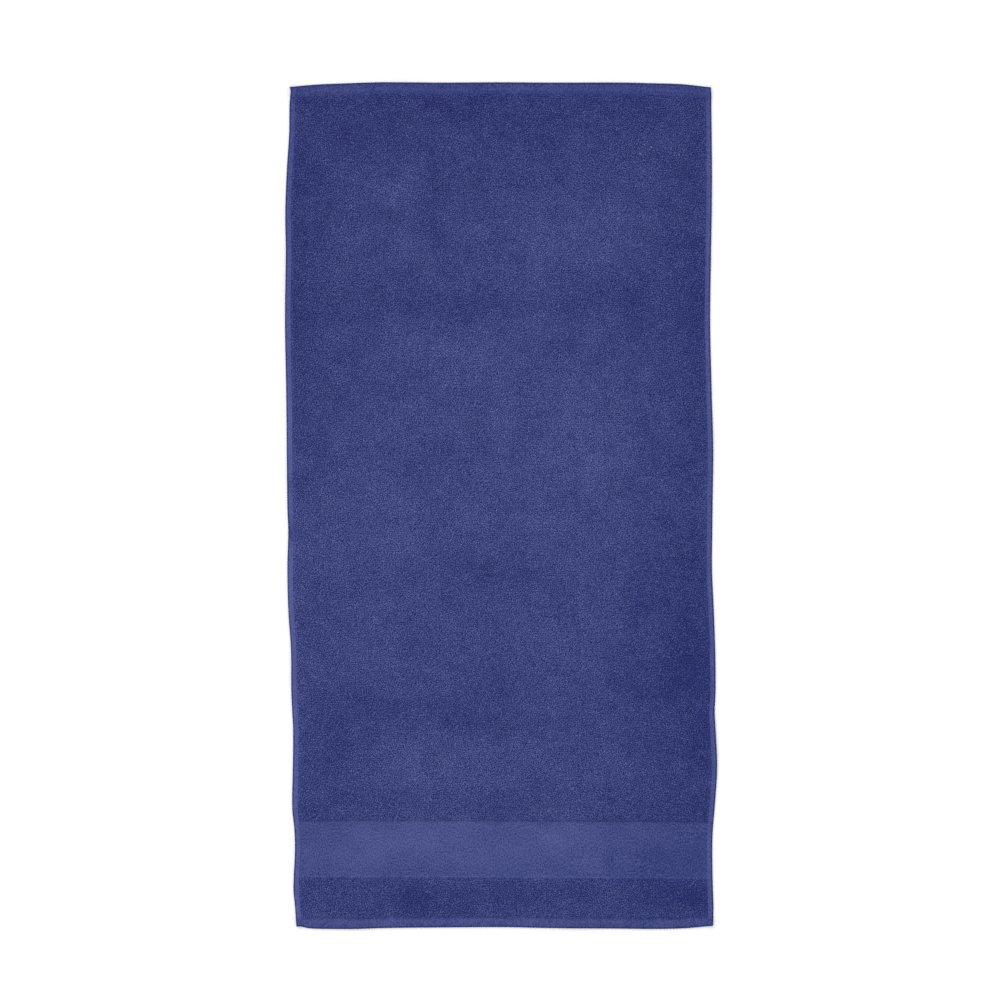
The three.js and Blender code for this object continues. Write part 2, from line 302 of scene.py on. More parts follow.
# Painted shade and painted light with the brushing of the pile: where the pile is brushed towards the light
# or away from it, painted shade towards the sides and the plain end where the light falls off and where the
# cloth was pressed along its old folds, and a painted highlight where the border band shines. Each patch is
# an oval that fades out over wide and long. Shade is how far it moves the cotton's colour from its deep
# shade towards its pale one.
NAP_AND_SHADE_PATCHES = table(
    "across along wide long shade",
    (0, 0.7, 0.9, 0.11, -0.22),
    (0.36, 0.3, 0.1, 0.28, -0.21),
    (0.36, -0.3, 0.11, 0.32, -0.32),
    (0.34, 0.335, 0.05, 0.06, -0.06),
    (-0.35, 0.42, 0.06, 0.24, -0.2),
    (-0.27, -0.42, 0.04, 0.12, -0.1),
    (0.03, 0.06, 0.24, 0.26, 0.12),
    (-0.2, -0.06, 0.12, 0.17, 0.06),
    (-0.1, -0.43, 0.12, 0.06, 0.12),
    (-0.08, 0.24, 0.09, 0.06, 0.08),
    (0.09, 0.44, 0.12, 0.06, 0.08),
    (-0.16, 0.46, 0.03, 0.07, 0.08),
    (-0.106, 0.458, 0.018, 0.03, -0.11),
    (0.07, 0.43, 0.05, 0.018, 0.08),
    (0.013, 0.508, 0.025, 0.015, 0.07),
    (-0.15, 0.42, 0.035, 0.025, 0.06),
    (-0.174, 0.513, 0.03, 0.02, 0.06),
    (-0.06, 0.338, 0.07, 0.022, -0.07),
    (-0.26, 0.318, 0.06, 0.014, -0.08),
    (-0.11, 0.264, 0.06, 0.016, 0.08),
    (0.102, 0.27, 0.025, 0.013, -0.11),
    (0.135, 0.236, 0.02, 0.025, 0.07),
    (0.196, 0.165, 0.016, 0.016, 0.07),
    (-0.108, 0.104, 0.022, 0.016, -0.07),
    (0.01, 0.115, 0.04, 0.013, -0.06),
    (-0.205, 0.05, 0.025, 0.03, 0.06),
    (0.17, 0.06, 0.04, 0.03, 0.06),
    (-0.177, -0.068, 0.045, 0.034, 0.09),
    (0.046, -0.028, 0.025, 0.015, 0.08),
    (-0.01, -0.1, 0.06, 0.02, -0.07),
    (-0.05, -0.315, 0.09, 0.016, -0.07),
    (-0.23, -0.327, 0.05, 0.02, -0.06),
    (0.19, -0.426, 0.03, 0.02, 0.07),
    (0.15, 0.1, 0.07, 0.09, 0.05),
    (0.3, 0.22, 0.06, 0.06, 0.06),
    (0, 0.335, 0.22, 0.035, -0.1),
    (-0.08, 0.1, 0.12, 0.03, -0.06),
    (0, -0.125, 0.14, 0.035, -0.11),
    (-0.08, -0.35, 0.25, 0.035, -0.09),
    (0.22, 0.33, 0.025, 0.06, -0.1),
    (0.222, -0.18, 0.02, 0.14, -0.09),
    (0, 0.7, 0.9, 0.018, 0.04),
    (0, -0.65, 1.5, 0.03, -0.13),
    (-0.155, -0.65, 0.035, 0.04, -0.12),
    (0.27, -0.59, 0.12, 0.08, -0.13),
    (-0.3, -0.57, 0.06, 0.05, -0.06),
    (0.02, -0.609, 0.35, 0.018, -0.09),
    (-0.28, -0.65, 0.06, 0.03, 0.07),
    (-0.15, -0.555, 0.07, 0.035, 0.1),
    (0.095, -0.55, 0.07, 0.03, 0.1),
    (-0.165, -0.185, 0.045, 0.035, 0.09),
    (-0.23, -0.29, 0.1, 0.035, 0.08),
    (0.26, -0.45, 0.12, 0.05, 0.09),
    (-0.28, 0.25, 0.07, 0.045, -0.06),
    (0.22, 0.255, 0.04, 0.045, -0.06),
    (0, 0.655, 0.035, 0.025, 0.16),
    (0.115, 0.668, 0.035, 0.02, -0.08),
    (0.319, 0.59, 0.02, 0.025, -0.1),
    (0.255, -0.12, 0.03, 0.07, -0.09),
    (-0.16, 0.135, 0.035, 0.035, 0.1),
    (-0.21, -0.46, 0.05, 0.03, 0.09),
    (-0.235, -0.085, 0.03, 0.025, 0.08),
    (0.336, 0, 0.014, 0.25, 0.09),
    (0.31, -0.582, 0.05, 0.032, -0.1),
    (-0.338, -0.528, 0.015, 0.012, 0.12),
    (0.115, -0.668, 0.02, 0.018, 0.11),
    (0.225, -0.635, 0.045, 0.025, 0.11),
    (0.005, 0.69, 0.06, 0.011, 0.08),
    (-0.215, 0.69, 0.028, 0.011, 0.09),
    (-0.17, -0.69, 0.12, 0.011, 0.05),
    (0.18, -0.69, 0.03, 0.011, -0.08),
)

# Fine lengthwise lines of painted shade and painted highlight, where the pile parted or was pressed along a
# sharp fold
FINE_FOLD_SHADE_LINES = table(
    "across along long shade",
    (-0.112, 0.56, 0.1, -0.12),
    (-0.113, 0.29, 0.08, 0.08),
    (0.153, 0.33, 0.07, 0.09),
    (0.108, 0.15, 0.05, 0.11),
    (0.124, 0.03, 0.08, -0.12),
    (0.133, -0.16, 0.06, 0.09),
    (0.127, -0.24, 0.05, -0.1),
    (-0.03, 0.25, 0.09, 0.06),
    (-0.136, -0.42, 0.07, 0.08),
    wide=0.003,
)

# Patches that show on the two side hems only
HEM_PATCHES = table(
    "across along long shade",
    (-0.35, 0.64, 0.13, -0.14),
    (-0.35, 0.12, 0.08, 0.28),
    (-0.35, 0.035, 0.013, -0.26),
    (-0.35, -0.003, 0.014, 0.12),
    (-0.35, -0.045, 0.016, -0.5),
    (-0.35, -0.13, 0.09, 0.26),
    (-0.35, -0.5, 0.3, 0.14),
    (-0.35, -0.68, 0.02, 0.12),
    (0.35, 0.66, 0.07, -0.12),
    (-0.35, 0.3, 0.12, 0.05),
    (0.35, -0.4, 0.35, -0.09),
    wide=0.05,
)

# Single pale loops, where lint was caught or the dye missed, and how much of their colour is the lint's
PALE_FLECKS = table(
    "across along share",
    (-0.095, 0.475, 1),
    (0.25, 0.593, 1),
    (0.229, 0.582, 1),
    (0.295, 0.579, 1),
    (-0.03, 0.45, 0.4),
    (-0.187, 0.206, 0.35),
    (0.137, -0.044, 0.4),
    (-0.129, -0.332, 0.35),
)

# The uneven brushing of the nap, and the finer unevenness of the hems, the band, the terry's edge and the
# height and tone of the loops
NAP_MOTTLES = (
    Mottle(strength=0.045, size=0.009, seed=31),
    Mottle(strength=0.08, size=0.024, seed=32, across_scale=0.8),
    Mottle(strength=0.05, size=0.06, seed=33, across_scale=0.8),
)
HEM_PUCKER = Mottle(strength=0.00022, size=0.011, seed=11)
BAND_WAVE = Mottle(strength=0.0003, size=0.034, seed=12)
RAGGED_EDGE = Mottle(strength=0.0008, size=0.006, seed=22)
LOOP_HEIGHT_MOTTLE = Mottle(strength=0.06, size=0.014, seed=42)
LOOP_TONE_MOTTLE = Mottle(strength=0.17, size=0.0036, seed=43)


class TowelCut(bpy.types.PropertyGroup):
    """The flat cut and its zones"""

    width: FloatProperty(
        name="Width", description="Width of the towel as cut and sewn",
        default=0.7, min=0.3, max=1.2, subtype="DISTANCE")
    length: FloatProperty(
        name="Length", description="Length of the towel as cut and sewn",
        default=1.4, min=0.5, max=2.4, subtype="DISTANCE")
    side_hem: FloatProperty(
        name="Side hem", description="Width of the hem down each long edge",
        default=0.009, min=0.004, max=0.03, subtype="DISTANCE")
    plain_hem: FloatProperty(
        name="Plain end hem", description="Width of the hem across the plain end",
        default=0.018, min=0.006, max=0.05, subtype="DISTANCE")
    border_hem: FloatProperty(
        name="Border end hem", description="Width of the hem across the border end",
        default=0.016, min=0.006, max=0.05, subtype="DISTANCE")
    border_start: FloatProperty(
        name="Border start", description="Distance from the plain end to the woven border band",
        default=1.2231, min=0.3, max=2.2, subtype="DISTANCE")
    border_width: FloatProperty(
        name="Border width", description="Width of the woven border band along the towel",
        default=0.0936, min=0.02, max=0.2, subtype="DISTANCE")


class TowelPile(bpy.types.PropertyGroup):
    """The loops of the terry face"""

    spacing: FloatProperty(
        name="Spacing", description="Distance from one loop to the next in both directions",
        default=0.003, min=0.002, max=0.01, precision=4, subtype="DISTANCE")
    loop_length: FloatProperty(
        name="Loop length", description="Length of a loop where it leaves the ground cloth",
        default=0.0034, min=0.001, max=0.01, precision=4, subtype="DISTANCE")
    loop_width: FloatProperty(
        name="Loop width", description="Width of a loop where it leaves the ground cloth",
        default=0.0024, min=0.0005, max=0.01, precision=4, subtype="DISTANCE")
    lean: FloatProperty(
        name="Lean", description="How far a loop's top may lean off its foot",
        default=0.001, min=0, max=0.005, precision=4, subtype="DISTANCE")
    strips: IntProperty(
        name="Strips", description="How many lengthwise strips the pile is made in",
        default=5, min=1, max=12)


class TowelColours(bpy.types.PropertyGroup):
    """The dyed cotton's colours"""

    # The loops' deep and pale colours are the ends of their range of tone; painted shade of folds and edges
    # pulls a loop towards the deep one
    loop_deep: FloatVectorProperty(
        name="Loops, deep", description="Colour of the pile down in its gaps",
        default=(0.03, 0.0415, 0.234), size=3, min=0, max=1, subtype="COLOR")
    loop_pale: FloatVectorProperty(
        name="Loops, pale", description="Colour of the pile's lightest tips",
        default=(0.136, 0.174, 0.447), size=3, min=0, max=1, subtype="COLOR")
    weave_deep: FloatVectorProperty(
        name="Flat weave, deep", description="Colour of the border band and the hems at their darkest",
        default=(0.0147, 0.0238, 0.128), size=3, min=0, max=1, subtype="COLOR")
    weave_pale: FloatVectorProperty(
        name="Flat weave, pale", description="Colour of the border band and the hems at their lightest",
        default=(0.0835, 0.099, 0.28), size=3, min=0, max=1, subtype="COLOR")
    thread: FloatVectorProperty(
        name="Thread", description="Colour of the hem stitching",
        default=(0.055, 0.068, 0.21), size=3, min=0, max=1, subtype="COLOR")
    lint: FloatVectorProperty(
        name="Lint", description="Colour of the few pale flecks",
        default=(0.29, 0.31, 0.38), size=3, min=0, max=1, subtype="COLOR")


class TowelStudio(bpy.types.PropertyGroup):
    """The floor, the light and the camera"""

    view_width: FloatProperty(
        name="View width", description="Width of the surface that the picture takes in",
        default=1.656, min=0.2, max=5, subtype="DISTANCE")
    camera_height: FloatProperty(
        name="Camera height", description="Height of the camera above the cloth",
        default=5, min=1, max=20, subtype="DISTANCE")
    key_strength: FloatProperty(
        name="Key strength", description="Strength of the broad light from the upper left",
        default=1.0, min=0, max=20)
    sky_strength: FloatProperty(
        name="Surrounding strength", description="Strength of the even light from all round",
        default=1.046, min=0, max=10)


def mesh_at_home(name, vertices, faces, material):
    """Makes a smooth-shaded object at the origin from points and faces."""
    mesh = bpy.data.meshes.new(name)
    mesh.from_pydata(vertices, [], faces)
    mesh.shade_smooth()
    mesh.materials.append(material)
    piece = bpy.data.objects.new(name, mesh)
    bpy.context.scene.collection.objects.link(piece)
    return piece


def add_point_values(piece, name, values):
    """Stores one number on each point of the piece's mesh."""
    attribute = piece.data.attributes.new(name, "FLOAT", "POINT")
    attribute.data.foreach_set("value", np.asarray(values, dtype=np.float32).ravel())


def add_map(piece, places):
    """Stores a map with one place for each face corner."""
    layer = piece.data.uv_layers.new(name="OFBake")
    layer.data.foreach_set("uv", np.asarray(places, dtype=np.float32).ravel())


def smooth_step(values, start, finish):
    """0 before start, 1 after finish, with a smooth rise between them"""
    share = np.clip((values - start) / (finish - start), 0, 1)
    return share * share * (3 - 2 * share)


def blend(first, second, share):
    """The first value at a share of 0, and the second at 1"""
    return first + (second - first) * share


def falloff(distance, size):
    """1 at the middle of a soft bump or trough, falling smoothly to 0"""
    return np.exp(-((distance / size) ** 2))


def mottled(mottle, across, along):
    """The mottle's smooth noise at each point, from about minus its strength to its strength"""
    count = 256
    corners = np.random.default_rng(mottle.seed).uniform(-1, 1, (count, count))
    place_x = across * mottle.across_scale / mottle.size
    place_y = along / mottle.size
    left = np.floor(place_x).astype(int)
    low = np.floor(place_y).astype(int)
    share_x = smooth_step(place_x - left, 0, 1)
    share_y = smooth_step(place_y - low, 0, 1)
    columns = (left % count, (left + 1) % count)
    rows = (low % count, (low + 1) % count)
    near = blend(corners[columns[0], rows[0]], corners[columns[1], rows[0]], share_x)
    far = blend(corners[columns[0], rows[1]], corners[columns[1], rows[1]], share_x)
    return mottle.strength * blend(near, far, share_y)


def through_rows(rows, place_column, value_column, places):
    """A smooth line through a table's rows, each row's slope taken from its two neighbours"""
    stops = np.array([getattr(row, place_column) for row in rows])
    values = np.array([getattr(row, value_column) for row in rows])
    order = np.arange(len(rows))
    before = np.maximum(order - 1, 0)
    after = np.minimum(order + 1, len(rows) - 1)
    slopes = (values[after] - values[before]) / (stops[after] - stops[before])
    held = np.clip(places, stops[0], stops[-1])
    right = np.clip(np.searchsorted(stops, held), 1, len(rows) - 1)
    left = right - 1
    span = stops[right] - stops[left]
    share = (held - stops[left]) / span
    ease = smooth_step(share, 0, 1)
    leave = share * (1 - share) ** 2 * span * slopes[left]
    arrive = share**2 * (share - 1) * span * slopes[right]
    return blend(values[left], values[right], ease) + leave + arrive


def border_finish(cut):
    """Distance from the plain end to the far edge of the border band"""
    return cut.border_start + cut.border_width


def place_on_surface(cut, from_left, down):
    """Where points of the flat cut lie once the edges have their waves"""
    half_width = cut.width / 2
    half_length = cut.length / 2
    across = from_left - half_width
    band_middle = cut.border_start + cut.border_width / 2
    down = down + BAND_SKEW * across / half_width * falloff(down - band_middle, BAND_SKEW_REACH)
    left = -half_width - through_rows(LONG_EDGES, "down", "left", down)
    right = half_width + through_rows(LONG_EDGES, "down", "right", down)
    plain_end = half_length + through_rows(END_EDGES, "across", "plain", across)
    border_end = -half_length - through_rows(END_EDGES, "across", "border", across)
    near_end = falloff(cut.length - down, END_WAVE_REACH)
    border_end = blend(-half_length, border_end, near_end)
    return blend(left, right, from_left / cut.width), blend(plain_end, border_end, down / cut.length)


def outline_middle(cut):
    """The middle of the outline's box, which is the frame's origin"""
    steps = 1400
    along_side = np.linspace(0, cut.length, steps)
    along_end = np.linspace(0, cut.width, steps)
    left = place_on_surface(cut, np.zeros(steps), along_side)[0]
    right = place_on_surface(cut, np.full(steps, cut.width), along_side)[0]
    plain = place_on_surface(cut, along_end, np.zeros(steps))[1]
    border = place_on_surface(cut, along_end, np.full(steps, cut.length))[1]
    return (left.min() + right.max()) / 2, (border.min() + plain.max()) / 2


def bumps_at(bumps, across, along):
    """The sum of a table's round bumps at each point"""
    total = np.zeros_like(across)
    for bump in bumps:
        distance = np.hypot(across - bump.across, along - bump.along)
        total += bump.rise * falloff(distance, bump.radius)
    return total


def crease_share(cut, across, along):
    """How much of the panels' rise the old creases leave at each point"""
    share = np.ones_like(across)
    for crease in CROSS_CREASES:
        bowed = crease.along - crease.bow * (across / (cut.width / 2)) ** 2
        strength = falloff(across - crease.middle, crease.reach)
        share *= 1 - crease.depth * strength * falloff(along - bowed, crease.half_width)
    for crease in LENGTHWISE_CREASES:
        strength = falloff(along - crease.middle, crease.reach)
        share *= 1 - crease.depth * strength * falloff(across - crease.across, crease.half_width)
    return share


def lift_at(cut, across, along):
    """How far the underside stands off the surface at each point"""
    from_side = cut.width / 2 - np.abs(across)
    from_plain_end = cut.length / 2 - along
    from_border = along - (cut.length / 2 - cut.border_start)
    settling = (
        smooth_step(from_side, 0, EDGE_SETTLING)
        * smooth_step(from_plain_end, 0, EDGE_SETTLING)
        * smooth_step(from_border, 0, BORDER_SETTLING)
    )
    panels = (PANEL_RISE * crease_share(cut, across, along) + bumps_at(SWELLS, across, along)) * settling
    return np.maximum(0, panels + bumps_at(HEM_RIPPLES, across, along) - SETTLED_DEPTH)


class Zones:
    """How much each point of the flat cut belongs to the hems, the border band and the terry"""

    def __init__(self, cut, from_left, down):
        self.side = np.minimum(from_left, cut.width - from_left)
        self.plain = down
        self.border_end = cut.length - down
        self.edge = np.minimum(self.side, np.minimum(self.plain, self.border_end))
        self.side_hem = 1 - self.past(self.side, cut.side_hem)
        plain_hem = 1 - self.past(self.plain, cut.plain_hem)
        border_hem = 1 - self.past(self.border_end, cut.border_hem)
        self.end_hem = np.maximum(plain_hem, border_hem)
        self.hem = np.maximum(self.side_hem, self.end_hem)
        self.band = self.past(down, cut.border_start) * (1 - self.past(down, border_finish(cut)))
        self.terry = (1 - self.band) * (1 - self.hem)

    @staticmethod
    def past(distance, line):
        """0 before a line of the cut, rising to 1 past it"""
        return smooth_step(distance, line - ZONE_BLEND / 2, line + ZONE_BLEND / 2)


def inside_terry(cut, from_left, down):
    """How far each point lies inside the nearest edge of the terry it is in, or below 0 outside it"""
    in_sides = np.minimum(from_left, cut.width - from_left) - cut.side_hem - SIDE_HEM_GAP
    in_body = np.minimum(down - cut.plain_hem, cut.border_start - down)
    in_strip = np.minimum(down - border_finish(cut), cut.length - cut.border_hem - down)
    return np.minimum(in_sides, np.maximum(in_body, in_strip))


def stitch_runs(cut):
    """The four hem seams, each as its first and last point on the flat cut"""
    left = cut.side_hem - STITCH_INSET
    plain = cut.plain_hem - STITCH_INSET
    border = cut.length - cut.border_hem + STITCH_INSET
    return (
        ((left, FOLD_DEPTH), (left, cut.length - FOLD_DEPTH)),
        ((cut.width - left, FOLD_DEPTH), (cut.width - left, cut.length - FOLD_DEPTH)),
        ((FOLD_DEPTH, plain), (cut.width - FOLD_DEPTH, plain)),
        ((FOLD_DEPTH, border), (cut.width - FOLD_DEPTH, border)),
    )


def groove_depth(cut, zones):
    """How far the seams draw the cloth in"""
    side = falloff(zones.side - (cut.side_hem - STITCH_INSET), STITCH_GROOVE)
    plain = falloff(zones.plain - (cut.plain_hem - STITCH_INSET), STITCH_GROOVE)
    border = falloff(zones.border_end - (cut.border_hem - STITCH_INSET), STITCH_GROOVE)
    return STITCH_SINK * np.maximum(side, np.maximum(plain, border))


def seam_ridge_highlight(cut, zones):
    """1 along the painted highlights of the ridges that the end hems' seams push up beside them, falling to
    0 away from them
    """
    plain = falloff(zones.plain - cut.plain_hem + PLAIN_RIDGE_INSET, RIDGE_HALF_WIDTH)
    border = falloff(zones.border_end - cut.border_hem + BORDER_RIDGE_INSET, RIDGE_HALF_WIDTH)
    return np.maximum(plain, border) * (1 - zones.side_hem)


def rib_height(cut, zones, down):
    """The raised rib along the lower edge of the border band"""
    rib = border_finish(cut) - RIB_INSET
    return RIB_RISE * falloff(down - rib, RIB_HALF_WIDTH) * (1 - zones.hem)


def cloth_faces_at(cut, from_left, down):
    """Where the ground cloth's face and underside lie: across, along, and the two heights"""
    across, along = place_on_surface(cut, from_left, down)
    zones = Zones(cut, from_left, down)
    lift = lift_at(cut, across, along)
    thickness = blend(TERRY_GROUND_TOP, BORDER_THICKNESS, zones.band)
    thickness = blend(thickness, HEM_THICKNESS, zones.hem)
    thickness = thickness + (CORNER_THICKNESS - HEM_THICKNESS) * zones.side_hem * zones.end_hem
    thickness = thickness - groove_depth(cut, zones) + rib_height(cut, zones, down)
    pucker = mottled(HEM_PUCKER, across, along) * zones.hem
    wave = mottled(BAND_WAVE, across, along) * zones.band
    rounding = np.sqrt(1 - (1 - np.clip(zones.edge / FOLD_DEPTH, 0, 1)) ** 2)
    top = lift + thickness * (1 + rounding) / 2 + (pucker + wave) * rounding
    bottom = lift + thickness * (1 - rounding) / 2
    middle_x, middle_y = outline_middle(cut)
    return across - middle_x, along - middle_y, top, bottom


def fold_lines(depth):
    """Mesh lines round a folded edge, closer together towards the outside"""
    return [depth * (1 - np.cos(angle)) for angle in np.linspace(0, pi / 2, 5)]


def hem_lines(width):
    """Mesh lines across a hem, from its folded edge to where it is sewn down"""
    stitch = width - STITCH_INSET
    outline = [blend(OUTLINE_START, OUTLINE_FINISH, share) for share in (0.1, 0.5, 1)]
    flat = list(np.linspace(OUTLINE_FINISH, stitch - 2 * STITCH_GROOVE, 2 + int(width / HEM_GRID)))[1:]
    groove_side = 0.8 * STITCH_GROOVE
    groove = [stitch - groove_side, stitch, stitch + groove_side]
    return fold_lines(FOLD_DEPTH) + outline + flat + groove + step_lines(width)


def step_lines(place):
    """Mesh lines at a step in thickness"""
    return [place - ZONE_BLEND / 2, place, place + ZONE_BLEND / 2]


def evenly(low, high, spacing):
    """Lines between low and high, without the two ends"""
    count = int(round((high - low) / spacing))
    return list(np.linspace(low, high, count + 1))[1:-1]


def lines_across(cut):
    """The ground cloth's mesh lines from its left edge to its right one"""
    left = hem_lines(cut.side_hem)
    right = [cut.width - line for line in reversed(left)]
    return np.array(left + evenly(left[-1], right[0], BODY_GRID) + right)


def lines_down(cut):
    """The ground cloth's mesh lines from its plain end to its border end"""
    top = hem_lines(cut.plain_hem)
    bottom = [cut.length - line for line in reversed(hem_lines(cut.border_hem))]
    band_start = step_lines(cut.border_start)
    rib = border_finish(cut) - RIB_INSET
    rib_lines = [rib - 2 * RIB_HALF_WIDTH, rib - RIB_HALF_WIDTH, rib, rib + RIB_HALF_WIDTH / 2]
    band_finish = rib_lines + step_lines(border_finish(cut))[1:]
    return np.array(
        top + evenly(top[-1], band_start[0], BODY_GRID)
        + band_start + evenly(band_start[-1], band_finish[0], BAND_GRID)
        + band_finish + evenly(band_finish[-1], bottom[0], BODY_GRID)
        + bottom
    )


def closed_sheet(rows, columns):
    """The four-cornered faces of a face and an underside that share their outline"""
    face = np.arange(rows * columns).reshape(rows, columns)
    underside = face + rows * columns
    underside[0, :] = face[0, :]
    underside[-1, :] = face[-1, :]
    underside[:, 0] = face[:, 0]
    underside[:, -1] = face[:, -1]
    upper = np.stack([face[:-1, :-1], face[1:, :-1], face[1:, 1:], face[:-1, 1:]], axis=-1)
    lower = np.stack(
        [underside[:-1, 1:], underside[1:, 1:], underside[1:, :-1], underside[:-1, :-1]], axis=-1)
    return upper.reshape(-1, 4), lower.reshape(-1, 4)


def add_node(tree, kind, inputs=None, **settings):
    """Adds a node, sets its settings, and sets or links its inputs."""
    node = tree.nodes.new(kind)
    for name, value in settings.items():
        setattr(node, name, value)
    for name, value in (inputs or {}).items():
        if isinstance(value, bpy.types.NodeSocket):
            tree.links.new(value, node.inputs[name])
        else:
            node.inputs[name].default_value = value
    return node


def calculate(tree, operation, first, second=0.0):
    """A sum, product or other arithmetic on two numbers"""
    return add_node(tree, "ShaderNodeMath", {0: first, 1: second}, operation=operation).outputs[0]


def scaled_colour(tree, colour, factor):
    """A colour made lighter or darker by a factor"""
    inputs = {"Vector": colour, "Scale": factor}
    return add_node(tree, "ShaderNodeVectorMath", inputs, operation="SCALE").outputs[0]


def mixed_colour(tree, factor, first, second):
    """The first colour at a factor of 0, and the second at 1"""
    inputs = {0: factor, 6: first, 7: second}
    return add_node(tree, "ShaderNodeMix", inputs, data_type="RGBA").outputs[2]


def noise_range(tree, vector, scale, low, high, detail=2.0):
    """Noise stretched to run from low to high"""
    noise = add_node(tree, "ShaderNodeTexNoise", {"Vector": vector, "Scale": scale, "Detail": detail})
    ranges = {"From Min": 0.3, "From Max": 0.7, "To Min": low, "To Max": high}
    inputs = {"Value": noise.outputs["Fac"], **ranges}
    return add_node(tree, "ShaderNodeMapRange", inputs).outputs["Result"]


def waves(tree, vector, direction, scale, distortion=0.0):
    """Even waves from 0 to 1, which run along X, along Y or diagonally"""
    inputs = {"Vector": vector, "Scale": scale, "Distortion": distortion}
    return add_node(tree, "ShaderNodeTexWave", inputs, bands_direction=direction).outputs["Fac"]


def point_value(tree, name):
    """A number that the piece's mesh holds on each point"""
    return add_node(tree, "ShaderNodeAttribute", attribute_name=name).outputs["Fac"]


def stretched(tree, vector, stretch):
    """Coordinates scaled along each axis"""
    return add_node(tree, "ShaderNodeMapping", {"Vector": vector, "Scale": stretch}).outputs[0]


def one_shader_material(name, inputs_of):
    """A material of one shader. The shader's inputs come from a function that adds its own nodes."""
    material = bpy.data.materials.new(name)
    material.use_nodes = True
    tree = material.node_tree
    tree.nodes.clear()
    coordinates = add_node(tree, "ShaderNodeTexCoord").outputs
    shader = add_node(tree, "ShaderNodeBsdfPrincipled", inputs_of(tree, coordinates))
    add_node(tree, "ShaderNodeOutputMaterial", {"Surface": shader.outputs["BSDF"]})
    return material


def cotton_material(name, colour_of, height_of, bump_depth):
    """A dull cotton material. Its colour and relief come from two functions that add their own nodes."""

    def inputs_of(tree, coordinates):
        relief = {"Strength": 1.0, "Distance": bump_depth, "Height": height_of(tree, coordinates)}
        bump = add_node(tree, "ShaderNodeBump", relief)
        return {
            "Base Color": colour_of(tree, coordinates),
            "Roughness": noise_range(tree, coordinates["Object"], scale=300, low=0.85, high=1.0),
            "Normal": bump.outputs["Normal"],
            "Specular IOR Level": 0.2,
            "Sheen Weight": 0.05,
            "Sheen Roughness": 0.5,
            "Sheen Tint": (0.72, 0.78, 1.0, 1.0),
        }

    return one_shader_material(name, inputs_of)


def solid(colour):
    """A colour for a node's socket, which also takes its opacity"""
    return (*colour, 1.0)


def loop_material(colours, cells):
    """Twisted cotton loops, with painted shade at the foot and painted light at the tip, and each loop's
    own tone
    """

    def colour_of(tree, coordinates):
        tone = point_value(tree, "tone")
        dyed = mixed_colour(tree, tone, solid(colours.loop_deep), solid(colours.loop_pale))
        # Painted shade at each loop's foot and painted light at its tip
        foot_shade_tip_light = mixed_colour(tree, point_value(tree, "reach"), solid(FOOT_SHADE_TINT), solid(TIP_LIGHT_TINT))
        shaded_dye = add_node(tree, "ShaderNodeVectorMath", {0: dyed, 1: foot_shade_tip_light}, operation="MULTIPLY").outputs[0]
        return mixed_colour(tree, point_value(tree, "fleck"), shaded_dye, solid(colours.lint))

    def height_of(tree, coordinates):
        along_loop = stretched(tree, coordinates["UV"], (cells, cells, 1))
        return waves(tree, along_loop, "DIAGONAL", scale=2.0, distortion=0.6)

    return cotton_material("terry_loops", colour_of, height_of, bump_depth=0.00012)


def gaps_between_loops(tree, place):
    """0 on a loop of the pressed underside, about 1 in its gaps, and 0 wherever the cloth is flat"""
    cells = add_node(tree, "ShaderNodeTexVoronoi", {"Vector": place, "Scale": 300.0})
    return calculate(tree, "MULTIPLY", cells.outputs["Distance"], point_value(tree, "looped"))


def flat_weave_material(colours):
    """The ground cloth: plain weave with uneven threads, and short terry where its underside is looped,
    with painted shade in its gaps
    """

    def colour_of(tree, coordinates):
        place = coordinates["Object"]
        strand_place = stretched(tree, place, (1.0, 0.6, 1.0))
        strands = noise_range(tree, strand_place, scale=620, low=-0.5, high=0.5, detail=1.0)
        strands = calculate(tree, "MULTIPLY", strands, point_value(tree, "uneven"))
        cloudy = noise_range(tree, place, scale=40, low=-0.04, high=0.04)
        share = calculate(tree, "ADD", calculate(tree, "ADD", strands, cloudy), point_value(tree, "tone"))
        # Painted shade in the underside's gaps
        gaps = calculate(tree, "MULTIPLY", gaps_between_loops(tree, place), UNDERSIDE_GAP_PAINTED_SHADE)
        share = calculate(tree, "SUBTRACT", share, gaps)
        return mixed_colour(tree, share, solid(colours.weave_deep), solid(colours.weave_pale))

    def height_of(tree, coordinates):
        place = coordinates["Object"]
        warp = waves(tree, place, "X", scale=320.0, distortion=0.8)
        weft = waves(tree, place, "Y", scale=320.0, distortion=0.8)
        over_under = calculate(tree, "MULTIPLY", warp, weft)
        weave = calculate(tree, "ADD", over_under, noise_range(tree, place, scale=500, low=0.0, high=1.0))
        gaps = calculate(tree, "MULTIPLY", gaps_between_loops(tree, place), UNDERSIDE_GAP_RELIEF)
        return calculate(tree, "SUBTRACT", weave, gaps)

    return cotton_material("flat_weave", colour_of, height_of, bump_depth=0.00015)


def thread_material(colours):
    """Polished sewing thread"""

    def colour_of(tree, coordinates):
        tone = noise_range(tree, coordinates["Object"], scale=700, low=0.85, high=1.15)
        return scaled_colour(tree, colours.thread, tone)

    def height_of(tree, coordinates):
        return waves(tree, coordinates["Object"], "DIAGONAL", scale=900.0)

    return cotton_material("hem_thread", colour_of, height_of, bump_depth=0.00005)


def start_clean():
    """Leaves object mode with nothing selected, so that the next operator acts on its own piece only."""
    if bpy.context.object and bpy.context.object.mode != "OBJECT":
        bpy.ops.object.mode_set(mode="OBJECT")
    bpy.ops.object.select_all(action="DESELECT")


